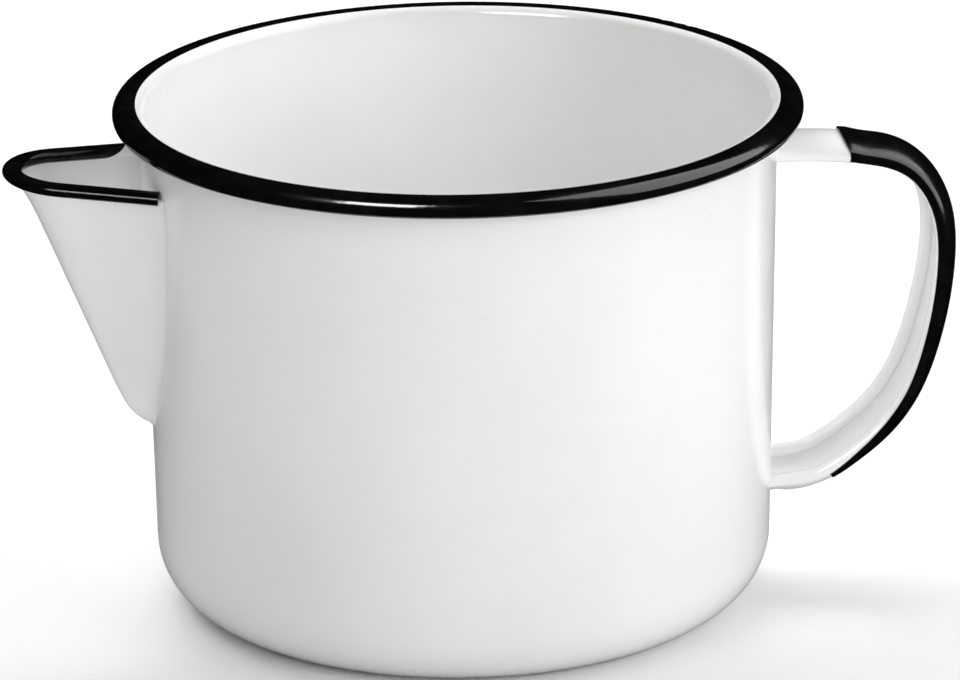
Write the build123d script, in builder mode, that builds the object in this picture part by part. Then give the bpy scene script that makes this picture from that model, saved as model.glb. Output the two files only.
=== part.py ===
from build123d import *
import math
import os

# Enamelled steel melting pot: a drawn body with a rolled rim, a pressed pouring spout
# on -X and a strap handle on +X.  Millimetres, +Z up, origin on the pot's axis at the base.

# ---- body and rim ----------------------------------------------------------------------
height = 115.0              # base to the top of the rolled rim
rim_radius = 76.0           # outermost radius of the rolled rim
top_radius = 70.3           # outside of the wall just under the rim
low_radius = 68.6           # outside of the wall just above the bottom corner
corner_radius = 15.0        # outside radius between wall and base
wall = 1.2                  # steel sheet with its enamel
roll_radius = 2.18          # outside radius of the rolled edge
trim_start_angle = 100.0    # where the black enamel starts over the roll, from straight out
curl_end_angle = -150.0     # where the rolled edge ends underneath, from straight out

# ---- pouring opening in the wall, behind the spout ----------------------------------------
opening_width = 26.0
opening_low = 52.0
opening_high = 96.0

# ---- spout: rounded V sections, widest at the mouth, running down to a keel on the wall --------
spout_wall = 1.1            # spout sheet with its enamel
spout_root = 62.0           # the blank starts inside the pot's wall
spout_foot = 42.8           # lowest section
inside_foot = 46.0          # lowest section of the hollow
spout_steps = 9             # sections below the mouth
section_top = 92.0          # highest level section
mouth_height = 100.7        # mouth plane at the wall
mouth_reach = 99.1          # outside of the sheet at the tip
mouth_tilt = 3.5            # the mouth rises towards the tip, degrees
keel_height = 60.0          # a point on the straight leading edge
keel_reach = 80.2
keel_lean = 0.40            # leading edge: outward run for each unit of height
keel_turn_in = 51.0         # below this the leading edge curves in to the wall
keel_turn_rate = 0.060
keel_flare_out = 90.0       # above this it flares out to the lip
keel_flare_rate = 0.010
nose_low, nose_high = 2.5, 13.8     # rounding of the tip, foot and mouth
nose_least = 1.25           # smallest rounding inside the tip
side_low, side_high = 3.0, 19.2     # half width at the wall, foot and mouth
side_fullness = 2.8         # how early the sides reach their full width
flare_low, flare_high = 1.5, 4.0    # blend of the sides into the wall
flare_inside = 0.6
flare_growth = 3.0          # the blend is full at a third of the height
flare_bite = 0.1            # part of the blend that runs into the wall
lip_half_width = 2.2        # rolled lip, across
lip_half_height = 1.5       # rolled lip, up and down
lip_end = 67.9              # radius at which the lip stops, short of the wall

# ---- handle ----------------------------------------------------------------------------
strap_sheet = 1.2           # handle sheet with its enamel
strap_curl = 1.5            # radius of the turned-in edges
strap_width_top = 16.7
strap_width_low = 21.8
strap_crown = 16.5          # crosswise radius of the strap's outer face
strap_stations = 24         # sections along the handle
trim_skin = 0.25            # thickness of the black enamel band
trim_depth = 0.4            # overlap of the band's blank with the strap before trimming
trim_first = 3              # stations between which the band's blank runs
trim_last = 21
trim_wrap_high = -42.0      # where the band ends on the turned-in edge, from straight sideways
trim_wrap_low = -20.0
trim_wrap_end = 40.0
trim_ease_from = 0.36       # from here its edge draws back a little, over trim_ease of the length
trim_ease = 0.3
trim_fade = 0.17            # over this much of the length it draws back to its lower end
trim_start = 85.0           # where the finished band starts on the crown
trim_lag = 2.3              # how much later it starts at trim_half_span to either side
trim_half_span = 12.0
strap_widening = 1.6        # the strap reaches its full width after one part in this of its length
handle_points = [(66, 102.9), (87.6, 102.0), (101.35, 98.1), (109.6, 86.7), (111.05, 72.0),
                 (107.3, 51.3), (97.25, 32.6), (82, 21.35), (66, 19.0)]
handle_ends = [(1, 0), (-1, -0.1)]  # directions in which the strap leaves and rejoins the pot


def around(centre, radius, degrees):
    """Point on a circle."""
    angle = math.radians(degrees)
    return (centre[0] + radius * math.cos(angle), centre[1] + radius * math.sin(angle))


def save(piece, name):
    """Label a finished piece and write it."""
    piece.part.label = name
    export_step(piece.part, f"parts/{name}.step")


os.makedirs("parts", exist_ok=True)
inner_roll = roll_radius - wall
bend_centre = (top_radius + inner_roll, height - roll_radius)
curl_centre = (rim_radius - roll_radius, height - roll_radius)
corner_centre = (low_radius - corner_radius, corner_radius)

# ---- envelope: the body's outside as one solid, to trim what is welded to it ----------------
with BuildPart() as envelope:
    with BuildSketch(Plane.XZ):
        with BuildLine():
            Line((0, 0), (corner_centre[0], 0))
            CenterArc(corner_centre, corner_radius, -90, 90)
            Line((low_radius, corner_radius), (top_radius, bend_centre[1]))
            Line((top_radius, bend_centre[1]), (0, bend_centre[1]))
            Line((0, bend_centre[1]), (0, 0))
        make_face()
    revolve(axis=Axis.Z)

# ---- pot body: drawn shell up to the start of the rim's bend --------------------------------
with BuildPart() as pot_body:
    with BuildSketch(Plane.XZ):
        with BuildLine():
            bend_outer = CenterArc(bend_centre, roll_radius, 180, trim_start_angle - 180)
            bend_inner = CenterArc(bend_centre, inner_roll, 180, trim_start_angle - 180)
            Line(bend_outer @ 1, bend_inner @ 1)
            Line(bend_inner @ 0, (low_radius, corner_radius))
            CenterArc(corner_centre, corner_radius, -90, 90)
            Line((corner_centre[0], 0), (0, 0))
            Line((0, 0), (0, wall))
            Line((0, wall), (corner_centre[0], wall))
            CenterArc(corner_centre, corner_radius - wall, -90, 90)
            Line((low_radius - wall, corner_radius), bend_outer @ 0)
        make_face()
    revolve(axis=Axis.Z)
    with BuildSketch(Plane.YZ.offset(-rim_radius)):
        with Locations((0, (opening_low + opening_high) / 2)):
            SlotOverall(opening_high - opening_low, opening_width, rotation=90)
    extrude(amount=rim_radius / 2, mode=Mode.SUBTRACT)
save(pot_body, "pot_body")

# ---- rolled rim, in black enamel --------------------------------------------------------------
with BuildPart() as rim_bead:
    with BuildSketch(Plane.XZ):
        with BuildLine():
            lead_outer = CenterArc(bend_centre, roll_radius, trim_start_angle, 90 - trim_start_angle)
            lead_inner = CenterArc(bend_centre, inner_roll, trim_start_angle, 90 - trim_start_angle)
            curl_outer = CenterArc(curl_centre, roll_radius, 90, curl_end_angle - 90)
            curl_inner = CenterArc(curl_centre, inner_roll, 90, curl_end_angle - 90)
            Line(lead_outer @ 0, lead_inner @ 0)
            Line(lead_outer @ 1, curl_outer @ 0)
            Line(lead_inner @ 1, curl_inner @ 0)
            Line(curl_outer @ 1, curl_inner @ 1)
        make_face()
    revolve(axis=Axis.Z)
save(rim_bead, "rim_bead")


# ---- spout ---------------------------------------------------------------------------------
def level(z, tilt=0.0):
    """Plane at a height on the pot's axis, its x pointing out along the spout."""
    lean = math.radians(tilt)
    return Plane(origin=(0, 0, z), x_dir=(-math.cos(lean), 0, math.sin(lean)),
                 z_dir=(math.sin(lean), 0, math.cos(lean)))


def wall_at(z, offside):
    """How far out the body's outer surface stands at a height, offside from the centre plane."""
    rise = (z - corner_radius) / (height - roll_radius - corner_radius)
    radius = low_radius + (top_radius - low_radius) * rise
    return math.sqrt(radius**2 - offside**2)


def leading_edge(z):
    """Reach of the spout's outside at a height, and its slope."""
    below, above = max(0, keel_turn_in - z), max(0, z - keel_flare_out)
    straight = keel_reach + keel_lean * (z - keel_height)
    reach = straight - keel_turn_rate * below**2 + keel_flare_rate * above**2
    return reach, keel_lean + 2 * keel_turn_rate * below + 2 * keel_flare_rate * above


def spout_size(z, inset=0.0):
    """Reach, tip rounding and half width of the spout at a height, inset by the sheet for its inside."""
    rise = (z - spout_foot) / (mouth_height - spout_foot)
    reach, slope = leading_edge(z)
    nose = nose_low + (nose_high - nose_low) * rise
    side = side_low + (side_high - side_low) * (1 - (1 - rise)**side_fullness)
    return reach - inset * math.hypot(1, slope), max(nose - inset, nose_least), side - inset


def side_taper(z, reach, nose, side):
    """Angle between the spout's centre line and its straight sides, degrees."""
    run = reach - nose - wall_at(z, side)
    return math.degrees(math.atan2(side, run) - math.asin(nose / math.hypot(run, side)))


def spout_section(plane, z, reach, nose, side, flare):
    """Rounded V with straight sides, flared to lie on the pot's wall and run back inside it."""
    seat = wall_at(z, side)
    taper = side_taper(z, reach, nose, side)
    foot = (wall_at(z, side + flare) - flare_bite * flare, side + flare)
    lift = around((seat, side), flare, -taper)
    with BuildSketch(plane) as section:
        with BuildLine():
            tip = CenterArc((reach - nose, 0), nose, taper - 90, 180 - 2 * taper)
            Line((lift[0], -lift[1]), tip @ 0)
            Line(tip @ 1, lift)
            Bezier(lift, (seat, side), foot)
            Polyline(foot, (spout_root, foot[1]), (spout_root, -foot[1]), (foot[0], -foot[1]))
            Bezier((foot[0], -foot[1]), (seat, -side), (lift[0], -lift[1]))
        make_face()
    return section.sketch


def steps_up(lowest, count):
    """Heights of the level sections, evenly spaced up to the highest."""
    return [lowest + (section_top - lowest) * step / (count - 1) for step in range(count)]


mouth_plane = level(mouth_height - lip_end * math.tan(math.radians(mouth_tilt)), mouth_tilt)

with BuildPart() as spout_blank:
    for z in steps_up(spout_foot, spout_steps):
        rise = (z - spout_foot) / (section_top - spout_foot)
        flare = flare_low + (flare_high - flare_low) * min(1, flare_growth * rise)
        add(spout_section(level(z), z, *spout_size(z), flare))
    add(spout_section(mouth_plane, mouth_height, mouth_reach, nose_high, side_high, flare_high))
    loft()

with BuildPart() as spout_inside:
    for z in steps_up(inside_foot, spout_steps - 1):
        add(spout_section(level(z), z, *spout_size(z, spout_wall), flare_inside))
    add(spout_section(mouth_plane, mouth_height, mouth_reach - spout_wall, nose_high - spout_wall,
                      side_high - spout_wall, flare_inside))
    loft()

with BuildPart() as spout_lip:
    nose = nose_high - spout_wall / 2
    side = side_high - spout_wall / 2
    reach = mouth_reach - spout_wall / 2
    taper = side_taper(mouth_height, reach, nose, side)
    leg = (lip_end, side - (lip_end - wall_at(mouth_height, side)) * math.tan(math.radians(taper)))
    with BuildLine(mouth_plane) as lip_line:
        tip = CenterArc((reach - nose, 0), nose, taper - 90, 180 - 2 * taper)
        Line((leg[0], -leg[1]), around((reach - nose, 0), nose, taper - 90))
        Line(around((reach - nose, 0), nose, 90 - taper), leg)
    with BuildSketch(Plane(origin=lip_line.line @ 0, x_dir=(0, 1, 0), z_dir=lip_line.line % 0)):
        Ellipse(lip_half_width, lip_half_height)
    sweep(path=lip_line.line)
    add(envelope.part, mode=Mode.SUBTRACT)
save(spout_lip, "spout_lip")

with BuildPart() as spout_shell:
    add(spout_blank.part)
    add(spout_inside.part, mode=Mode.SUBTRACT)
    add(envelope.part, mode=Mode.SUBTRACT)
    add(spout_lip.part, mode=Mode.SUBTRACT)
save(spout_shell, "spout_shell")

# ---- handle --------------------------------------------------------------------------------
with BuildLine(Plane.XZ) as handle_line:
    Spline(*handle_points, tangents=handle_ends)
handle_path = handle_line.line
crown_centre = (0, -strap_crown)
curl_hub = strap_crown - strap_curl


def strap_plane(along):
    """Plane across the handle, x to the far side and y outwards."""
    return Plane(origin=handle_path @ along, x_dir=(0, 1, 0), z_dir=handle_path % along)


def strap_spread(along):
    """Angle from the crown's top to where it meets the turned-in edge, degrees."""
    widening = (1 - math.cos(math.pi * min(1, strap_widening * along))) / 2
    width = strap_width_top + (strap_width_low - strap_width_top) * widening
    return math.degrees(math.asin((width / 2 - strap_curl) / curl_hub))


def strap_section(along):
    """Crowned sheet with both edges turned in to round beads."""
    spread = strap_spread(along)
    near, far = around(crown_centre, curl_hub, 90 + spread), around(crown_centre, curl_hub, 90 - spread)
    inner = strap_crown - strap_sheet
    meet = math.degrees(math.acos((inner**2 + curl_hub**2 - strap_curl**2) / (2 * inner * curl_hub)))
    with BuildSketch(strap_plane(along)) as section:
        with BuildLine():
            CenterArc(crown_centre, strap_crown, 90 + spread, -2 * spread)
            inside = CenterArc(crown_centre, inner, 90 + spread - meet, -2 * (spread - meet))
            far_end = math.degrees(math.atan2((inside @ 1).Y - far[1], (inside @ 1).X - far[0]))
            CenterArc(far, strap_curl, 90 - spread, (far_end - 90 + spread) % 360 - 360)
            CenterArc(near, strap_curl, 90 + spread, (90 - spread - far_end) % 360)
        make_face()
    return section.sketch


def trim_section(along):
    """Closed strip over the crown and round most of both edges."""
    spread = strap_spread(along)
    near, far = around(crown_centre, curl_hub, 90 + spread), around(crown_centre, curl_hub, 90 - spread)
    ease = min(1, max(0, (along - trim_ease_from) / trim_ease))
    fade = max(0, (along - trim_last / strap_stations + trim_fade) / trim_fade)
    wrap = trim_wrap_high + (trim_wrap_low - trim_wrap_high) * ease
    wrap += (trim_wrap_end - wrap) * fade**2
    turn = 90 - spread - wrap
    low, high = strap_curl - trim_depth, strap_curl + trim_skin
    with BuildSketch(strap_plane(along)) as section:
        with BuildLine():
            CenterArc(crown_centre, strap_crown + trim_skin, 90 + spread, -2 * spread)
            CenterArc(crown_centre, strap_crown - trim_depth, 90 + spread, -2 * spread)
            for radius in (low, high):
                CenterArc(far, radius, 90 - spread, -turn)
                CenterArc(near, radius, 90 + spread, turn)
            Line(around(far, low, wrap), around(far, high, wrap))
            Line(around(near, low, 180 - wrap), around(near, high, 180 - wrap))
        make_face()
    return section.sketch


with BuildPart() as handle_strap:
    for station in range(strap_stations + 1):
        add(strap_section(station / strap_stations))
    loft()
    add(envelope.part, mode=Mode.SUBTRACT)
save(handle_strap, "handle_strap")

with BuildPart() as handle_trim:
    for station in range(trim_first, trim_last + 1):
        add(trim_section(station / strap_stations))
    loft()
    add(handle_strap.part, mode=Mode.SUBTRACT)
    with BuildSketch(Plane.XY.offset(height)):
        with BuildLine():
            late = trim_start + trim_lag
            ThreePointArc((late, -trim_half_span), (trim_start, 0), (late, trim_half_span))
            Polyline((late, trim_half_span), (top_radius, trim_half_span), (top_radius, -trim_half_span),
                     (late, -trim_half_span))
        make_face()
    extrude(amount=-height / 2, mode=Mode.SUBTRACT)
save(handle_trim, "handle_trim")
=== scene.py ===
import math

import bpy
from mathutils import Matrix, Vector


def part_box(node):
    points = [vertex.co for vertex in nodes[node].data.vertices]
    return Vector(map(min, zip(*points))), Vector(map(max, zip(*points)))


# The whole script works in metres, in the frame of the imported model: +Z up, the spout along -X.
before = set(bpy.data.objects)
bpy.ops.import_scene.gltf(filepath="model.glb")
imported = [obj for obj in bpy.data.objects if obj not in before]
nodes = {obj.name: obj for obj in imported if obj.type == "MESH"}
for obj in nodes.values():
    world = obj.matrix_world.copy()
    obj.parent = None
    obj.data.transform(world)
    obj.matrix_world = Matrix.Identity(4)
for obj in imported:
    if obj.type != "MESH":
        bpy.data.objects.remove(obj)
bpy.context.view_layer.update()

pot_low, pot_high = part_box("pot_body")
pot_middle = Vector(((pot_low.x + pot_high.x) / 2, (pot_low.y + pot_high.y) / 2, pot_high.z / 2))

bpy.context.scene.view_settings.view_transform = "Standard"


# ---------------------------------------------------------------- camera

VIEW_TURN = math.radians(-7.0)
VIEW_RISE = math.radians(19.053)
VIEW_ROLL = math.radians(-0.735)
VIEW_DISTANCE = 1.52
VIEW_REACH = 30                     # how far the camera sees
LENS = 256.2                        # millimetres, as is the sensor's width
SENSOR_WIDTH = 36
LEAD_RIGHT = 0.0042                 # the camera aims this far beside the pot's middle
LEAD_UP = 0.0007


def direction(turn, rise):
    """Unit vector from the pot towards something at a turn from the front and a rise, in radians."""
    return Vector((math.sin(turn) * math.cos(rise), -math.cos(turn) * math.cos(rise), math.sin(rise)))


def add_camera():
    """The camera stands in front of the pot, a little above it, and looks just beside its middle."""
    back = direction(VIEW_TURN, VIEW_RISE)
    roll = Matrix.Rotation(VIEW_ROLL, 3, "Z")
    place = pot_middle + back * VIEW_DISTANCE
    aim = pot_middle + (-back).to_track_quat("-Z", "Y").to_matrix() @ roll @ Vector((LEAD_RIGHT, LEAD_UP, 0))
    facing = (aim - place).to_track_quat("-Z", "Y").to_matrix() @ roll
    data = bpy.data.cameras.new("camera")
    data.lens = LENS
    data.sensor_width = SENSOR_WIDTH
    data.clip_end = VIEW_REACH
    camera = bpy.data.objects.new("camera", data)
    camera.matrix_world = Matrix.Translation(place) @ facing.to_4x4()
    bpy.context.scene.collection.objects.link(camera)
    bpy.context.scene.camera = camera


add_camera()


# ---------------------------------------------------------------- floor and light

FLOOR_SIDE = 8.0
BOX_DISTANCE = 2.5
BOX_SIDE = 1.3

# name: (turn from the front and rise, in degrees, watts)
SOFTBOXES = {
    "front": (0, 20, 13.6),
    "front_right": (45, 20, 20.5),
    "right": (90, 20, 12),
    "right_high": (90, 50, 7.5),
    "back": (180, 50, 27),
    "back_right": (135, 50, 14.5),
    "back_left": (225, 50, 23.5),
    "front_left": (315, 50, 8.5),
}
# Two more lights are only mirrored in the enamel: the window that draws the short streak on the
# front of the rim, and the large panel that turns its right side grey.
# name: (turn from the front and rise, in degrees, distance, width, height, watts)
MIRRORED = {
    "window": (-35, 37, 2.5, 1.02, 1.02, 83),
    "panel": (80, 35, 2.5, 3.3, 3.5, 108),
}


def add_softbox(name, turn, rise, distance, width, height, watts, mirrored=False):
    """A rectangular light that faces the pot: it lights the enamel, or is mirrored in it, never both."""
    away = direction(math.radians(turn), math.radians(rise))
    data = bpy.data.lights.new(name, "AREA")
    data.shape = "RECTANGLE"
    data.size = width
    data.size_y = height
    data.energy = watts
    lamp = bpy.data.objects.new(name, data)
    lamp.visible_glossy = mirrored
    lamp.visible_diffuse = not mirrored
    facing = away.to_track_quat("Z", "Y").to_matrix().to_4x4()
    lamp.matrix_world = Matrix.Translation(pot_middle + away * distance) @ facing
    bpy.context.scene.collection.objects.link(lamp)


def add_floor(paper):
    """Pale paper floor, kept out of the glossy black trim's reflections."""
    half = FLOOR_SIDE / 2
    mesh = bpy.data.meshes.new("floor")
    corners = [(-half, -half, 0), (half, -half, 0), (half, half, 0), (-half, half, 0)]
    mesh.from_pydata(corners, [], [(0, 1, 2, 3)])
    mesh.materials.append(paper)
    floor = bpy.data.objects.new("floor", mesh)
    floor.visible_glossy = False
    bpy.context.scene.collection.objects.link(floor)


for box_name, (turn, rise, watts) in SOFTBOXES.items():
    add_softbox(box_name, turn, rise, BOX_DISTANCE, BOX_SIDE, BOX_SIDE, watts)
for box_name, setting in MIRRORED.items():
    add_softbox(box_name, *setting, mirrored=True)

# all the light comes from the softboxes
world = bpy.data.worlds.new("studio")
world.use_nodes = True
world.node_tree.nodes["Background"].inputs["Strength"].default_value = 0.0
bpy.context.scene.world = world


# ---------------------------------------------------------------- materials

# sockets of the mix node for two colours, whose names repeat
MIX_SHARE, MIX_FIRST, MIX_SECOND, MIX_COLOUR = 0, 6, 7, 2


class Shading:
    """A material's node tree, with short calls for the nodes that the finishes use."""

    def __init__(self, name):
        self.material = bpy.data.materials.new(name)
        self.material.use_nodes = True
        self.tree = self.material.node_tree
        self.shader = self.tree.nodes["Principled BSDF"]
        self.place = self.add("ShaderNodeTexCoord").outputs["Object"]

    def add(self, kind, **settings):
        node = self.tree.nodes.new(kind)
        for key, value in settings.items():
            setattr(node, key, value)
        return node

    def plug(self, node, name, value):
        """Link a socket, or set it where the value is a plain number or colour."""
        if isinstance(value, bpy.types.NodeSocket):
            self.tree.links.new(value, node.inputs[name])
        else:
            node.inputs[name].default_value = value

    def noise(self, scale, detail=2.0):
        """Noise from 0 to 1 with that many features a metre."""
        node = self.add("ShaderNodeTexNoise")
        self.plug(node, "Scale", scale)
        self.plug(node, "Detail", detail)
        self.plug(node, "Vector", self.place)
        return node.outputs["Fac"]

    def cells(self, scale):
        """Distance from the middle of the nearest of that many cells a metre."""
        node = self.add("ShaderNodeTexVoronoi")
        self.plug(node, "Scale", scale)
        self.plug(node, "Vector", self.place)
        return node.outputs["Distance"]

    def math(self, operation, first, second=0.0, clamp=False):
        """One arithmetic step."""
        node = self.add("ShaderNodeMath", operation=operation, use_clamp=clamp)
        self.plug(node, 0, first)
        self.plug(node, 1, second)
        return node.outputs[0]

    def spread(self, value, low, high, to_low=0.0, to_high=1.0, smooth=False):
        """Maps low..high to to_low..to_high."""
        node = self.add("ShaderNodeMapRange", clamp=True)
        if smooth:
            node.interpolation_type = "SMOOTHSTEP"
        for name, number in (("Value", value), ("From Min", low), ("From Max", high),
                             ("To Min", to_low), ("To Max", to_high)):
            self.plug(node, name, number)
        return node.outputs["Result"]

    def mix(self, share, first, second):
        """Colour from first to second as share goes from 0 to 1. The colour sockets are told by number."""
        node = self.add("ShaderNodeMix", data_type="RGBA")
        self.plug(node, MIX_SHARE, share)
        self.plug(node, MIX_FIRST, first)
        self.plug(node, MIX_SECOND, second)
        return node.outputs[MIX_COLOUR]

    def axes(self):
        """The three coordinates of the point, in metres."""
        node = self.add("ShaderNodeSeparateXYZ")
        self.plug(node, 0, self.place)
        return node.outputs

    def bump(self, height, depth, under=None):
        """Surface normal for a height from 0 to 1 that stands for depth metres."""
        node = self.add("ShaderNodeBump")
        self.plug(node, "Height", height)
        self.plug(node, "Distance", depth)
        if under is not None:
            self.plug(node, "Normal", under)
        return node.outputs["Normal"]

    def finish(self, **sockets):
        """Set the shader's sockets, with _ for a space, and return the material."""
        for name, value in sockets.items():
            self.plug(self.shader, name.replace("_", " "), value)
        return self.material


WHITE = (0.92, 0.92, 0.915, 1)
WHITE_THIN = (0.885, 0.89, 0.885, 1)
BLACK = (0.0022, 0.0022, 0.0024, 1)
BLACK_THIN = (0.006, 0.006, 0.0065, 1)
SPECK = (0.62, 0.60, 0.57, 1)
RUBBED = (0.60, 0.59, 0.57, 1)
PAPER = (0.97, 0.97, 0.97, 1)
PAPER_GRAIN = (0.955, 0.955, 0.955, 1)

# Noise: features a metre and detail. Cuts: where on the noise's 0 to 1 the effect starts and is full.
PATCHES, PATCH_CUT = (22, 3.0), (0.35, 0.7)
THIN_BLACK, THIN_BLACK_CUT = (160, 3.0), (0.4, 0.75)
SPECK_CELLS, SPECK_EDGE = 300, (0.04, 0.07)
SPECK_PLACES, SPECK_CUT = (90, 0.0), (0.76, 0.80)
RUBBING, RUBBING_CUT = (130, 5.0), (0.42, 0.62)
SHEEN, SHEEN_CUT = (75, 3.0), (0.3, 0.75)
SLOW_WAVES, ORANGE_PEEL = (55, 1.0), (420, 2.0)
GRAIN, GRAIN_CUT = (1500, 2.0), (0.3, 0.7)

# metres
FOOT_WEAR = (0.0001, 0.0006)        # the base is dulled where it stands, fading out over these heights
WHITE_WAVE_DEPTH = 0.00018
BLACK_WAVE_DEPTH = 0.00012
PEEL_DEPTH = 0.00003
GRAIN_DEPTH = 0.00002

WHITE_ROUGHNESS = (0.16, 0.24)
BLACK_ROUGHNESS = (0.10, 0.20)
PAPER_ROUGHNESS = 0.9
FULL_SHINE = 0.5                    # specular level of ordinary glaze
LIP_SHINE = 0.14
PAPER_SHINE = 0.1


def white_colour(s):
    """White enamel: thinner and greyer in patches, a few tiny specks, and rubbed under the base."""
    patches = s.spread(s.noise(*PATCHES), *PATCH_CUT, smooth=True)
    coat = s.mix(patches, WHITE, WHITE_THIN)
    dots = s.spread(s.cells(SPECK_CELLS), *SPECK_EDGE, to_low=1.0, to_high=0.0, smooth=True)
    rare = s.spread(s.noise(*SPECK_PLACES), *SPECK_CUT)
    coat = s.mix(s.math("MULTIPLY", dots, rare), coat, SPECK)
    foot = s.spread(s.axes()["Z"], *FOOT_WEAR, to_low=1.0, to_high=0.0)
    rubbed = s.spread(s.noise(*RUBBING), *RUBBING_CUT)
    return s.mix(s.math("MULTIPLY", foot, rubbed), coat, RUBBED)


def black_colour(s):
    """Black enamel, a little paler where it lies thin."""
    return s.mix(s.spread(s.noise(*THIN_BLACK), *THIN_BLACK_CUT), BLACK, BLACK_THIN)


def glaze_normal(s, wave_depth):
    """Slow waves and a fine orange peel, as fired enamel has."""
    waves = s.bump(s.noise(*SLOW_WAVES), wave_depth)
    return s.bump(s.noise(*ORANGE_PEEL), PEEL_DEPTH, under=waves)


def glaze_roughness(s, limits):
    """Roughness that drifts between two limits."""
    return s.spread(s.noise(*SHEEN), *SHEEN_CUT, *limits)


def make_white(name):
    """White enamel."""
    s = Shading(name)
    return s.finish(Base_Color=white_colour(s), Roughness=glaze_roughness(s, WHITE_ROUGHNESS),
                    Normal=glaze_normal(s, WHITE_WAVE_DEPTH))


# The rim's flat top is shaded as rounded, like a rolled bead: the ridge's radius round the pot's
# axis, how far it spreads to either side, and its height.
CROWN_RADIUS = 0.07205
CROWN_SPREAD = 0.0014
CROWN_HEIGHT = 0.00055


def rim_crown(s):
    """Height in metres of a bell-shaped ridge that runs round the rim."""
    x, y = s.axes()[:2]
    radius = s.math("SQRT", s.math("ADD", s.math("MULTIPLY", x, x), s.math("MULTIPLY", y, y)))
    offset = s.math("DIVIDE", s.math("SUBTRACT", radius, CROWN_RADIUS), CROWN_SPREAD)
    fall = s.math("EXPONENT", s.math("MULTIPLY", s.math("MULTIPLY", offset, offset), -0.5))
    return s.math("MULTIPLY", fall, CROWN_HEIGHT)


def make_black(name, white_share=None, ridge=None, shine=FULL_SHINE):
    """Black enamel. white_share builds a mask of where the white ground shows, ridge a height to add."""
    s = Shading(name)
    colour = black_colour(s)
    if white_share is not None:
        colour = s.mix(white_share(s), colour, white_colour(s))
    normal = glaze_normal(s, BLACK_WAVE_DEPTH)
    if ridge is not None:
        normal = s.bump(ridge(s), depth=1.0, under=normal)
    return s.finish(Base_Color=colour, Roughness=glaze_roughness(s, BLACK_ROUGHNESS),
                    Specular_IOR_Level=shine, Normal=normal)


def make_paper():
    """Matt white paper with a fine grain."""
    s = Shading("floor_paper")
    grain = s.noise(*GRAIN)
    colour = s.mix(s.spread(grain, *GRAIN_CUT), PAPER, PAPER_GRAIN)
    return s.finish(Base_Color=colour, Roughness=PAPER_ROUGHNESS, Specular_IOR_Level=PAPER_SHINE,
                    Normal=s.bump(grain, GRAIN_DEPTH))


# The black on the lip's far leg stops short of the pot, along a line that climbs towards it. In
# metres: how far out the line starts and ends, half the leg's height, and the height at which the
# leg's middle, which rises at LEG_TILT towards the tip, would meet the pot's axis.
LEG_BLACK_FADE = 0.0795
LEG_BLACK_END = 0.0720
LEG_HALF_HEIGHT = 0.0016
LEG_FOOT = 0.09655
LEG_TILT = math.radians(3.5)


def lip_ground(s):
    """1 where the white ground shows on the lip's far leg, and 0 elsewhere."""
    x, y, z = s.axes()
    far_side = s.math("GREATER_THAN", y, 0.0)
    start = s.math("ADD", x, LEG_BLACK_FADE)
    progress = s.math("DIVIDE", start, LEG_BLACK_FADE - LEG_BLACK_END, clamp=True)
    middle = s.math("ADD", s.math("MULTIPLY", x, -math.tan(LEG_TILT)), LEG_FOOT)
    above_middle = s.math("SUBTRACT", z, middle)
    climb = s.math("SUBTRACT", s.math("POWER", progress, 2.0), 0.5)
    line = s.math("MULTIPLY", climb, 2 * LEG_HALF_HEIGHT)
    below = s.math("LESS_THAN", above_middle, line)
    begun = s.math("GREATER_THAN", start, 0.0)
    return s.math("MULTIPLY", s.math("MULTIPLY", below, begun), far_side)


add_floor(make_paper())
white = make_white("white_enamel")
black = make_black("black_enamel")
FINISH = {
    "pot_body": white,
    "spout_shell": white,
    "handle_strap": white,
    "rim_bead": make_black("rim_enamel", ridge=rim_crown),
    "spout_lip": make_black("lip_enamel", lip_ground, shine=LIP_SHINE),
    "handle_trim": black,
}
for node_name, material in FINISH.items():
    mesh = nodes[node_name].data
    mesh.materials.clear()
    mesh.materials.append(material)
